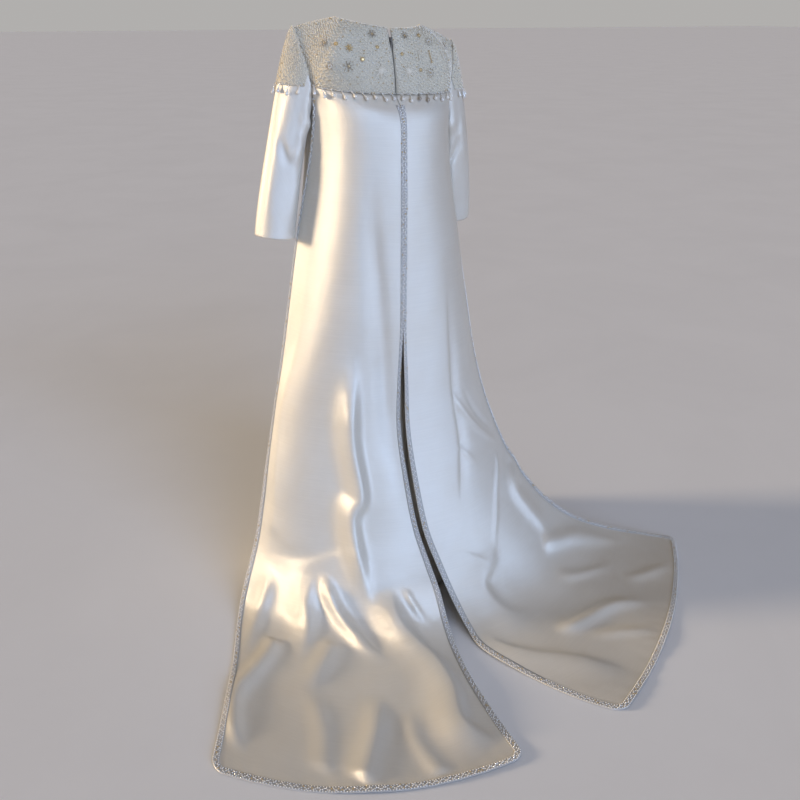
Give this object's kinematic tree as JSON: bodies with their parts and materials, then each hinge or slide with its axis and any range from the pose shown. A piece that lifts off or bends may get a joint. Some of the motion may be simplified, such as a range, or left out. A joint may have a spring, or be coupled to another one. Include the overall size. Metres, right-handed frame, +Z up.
{
  "type": "wedding dress",
  "caption": "Floor-length A-line satin wedding dress with a beaded yoke, three-quarter sleeves, a back zip and a bead-edged train of free panels, filled out as worn.",
  "frame": {"origin": "centre of the neck opening, level with the higher of the two neck points, where the wearer's neck and shoulders carry the dress", "axes": "+Z up, the dress faces -Y so the train runs out along +Y, +X is the wearer's left"},
  "size_m": [1.454, 1.1093, 1.417],
  "materials": {
    "satin": "lustrous satin",
    "beadwork": "dense seed beadwork on satin",
    "trim": "glittering bead trim",
    "pearl": "pearl lustre",
    "tape": "matt woven tape",
    "zip_metal": "worn nickel"
  },
  "bodies": {
    "gown": {"yoke_back_left": "beadwork", "yoke_back_right": "beadwork", "yoke_front": "beadwork", "skirt_front": "satin", "skirt_back_left": "satin", "skirt_back_right": "satin", "train_left": "satin", "train_right": "satin", "train_trim_left": "trim", "train_trim_right": "trim", "sleeve_left": "satin", "sleeve_right": "satin", "cap_left": "beadwork", "cap_right": "beadwork", "drops_yoke_back_left": "pearl", "drops_yoke_back_right": "pearl", "drops_yoke_front": "pearl", "drops_cap_left": "pearl", "drops_cap_right": "pearl", "zip_tape": "tape", "zip_slider": "zip_metal"},
    "pull tab": {"zip_pull": "zip_metal"}
  },
  "joints": [
    {"name": "pull_tab_hinge", "type": "hinge", "parent": "gown", "child": "pull tab", "pos_m": [0, 0.0936, -0.04506], "axis": [1, 0, 0], "range_deg": [0, 140]}
  ]
}
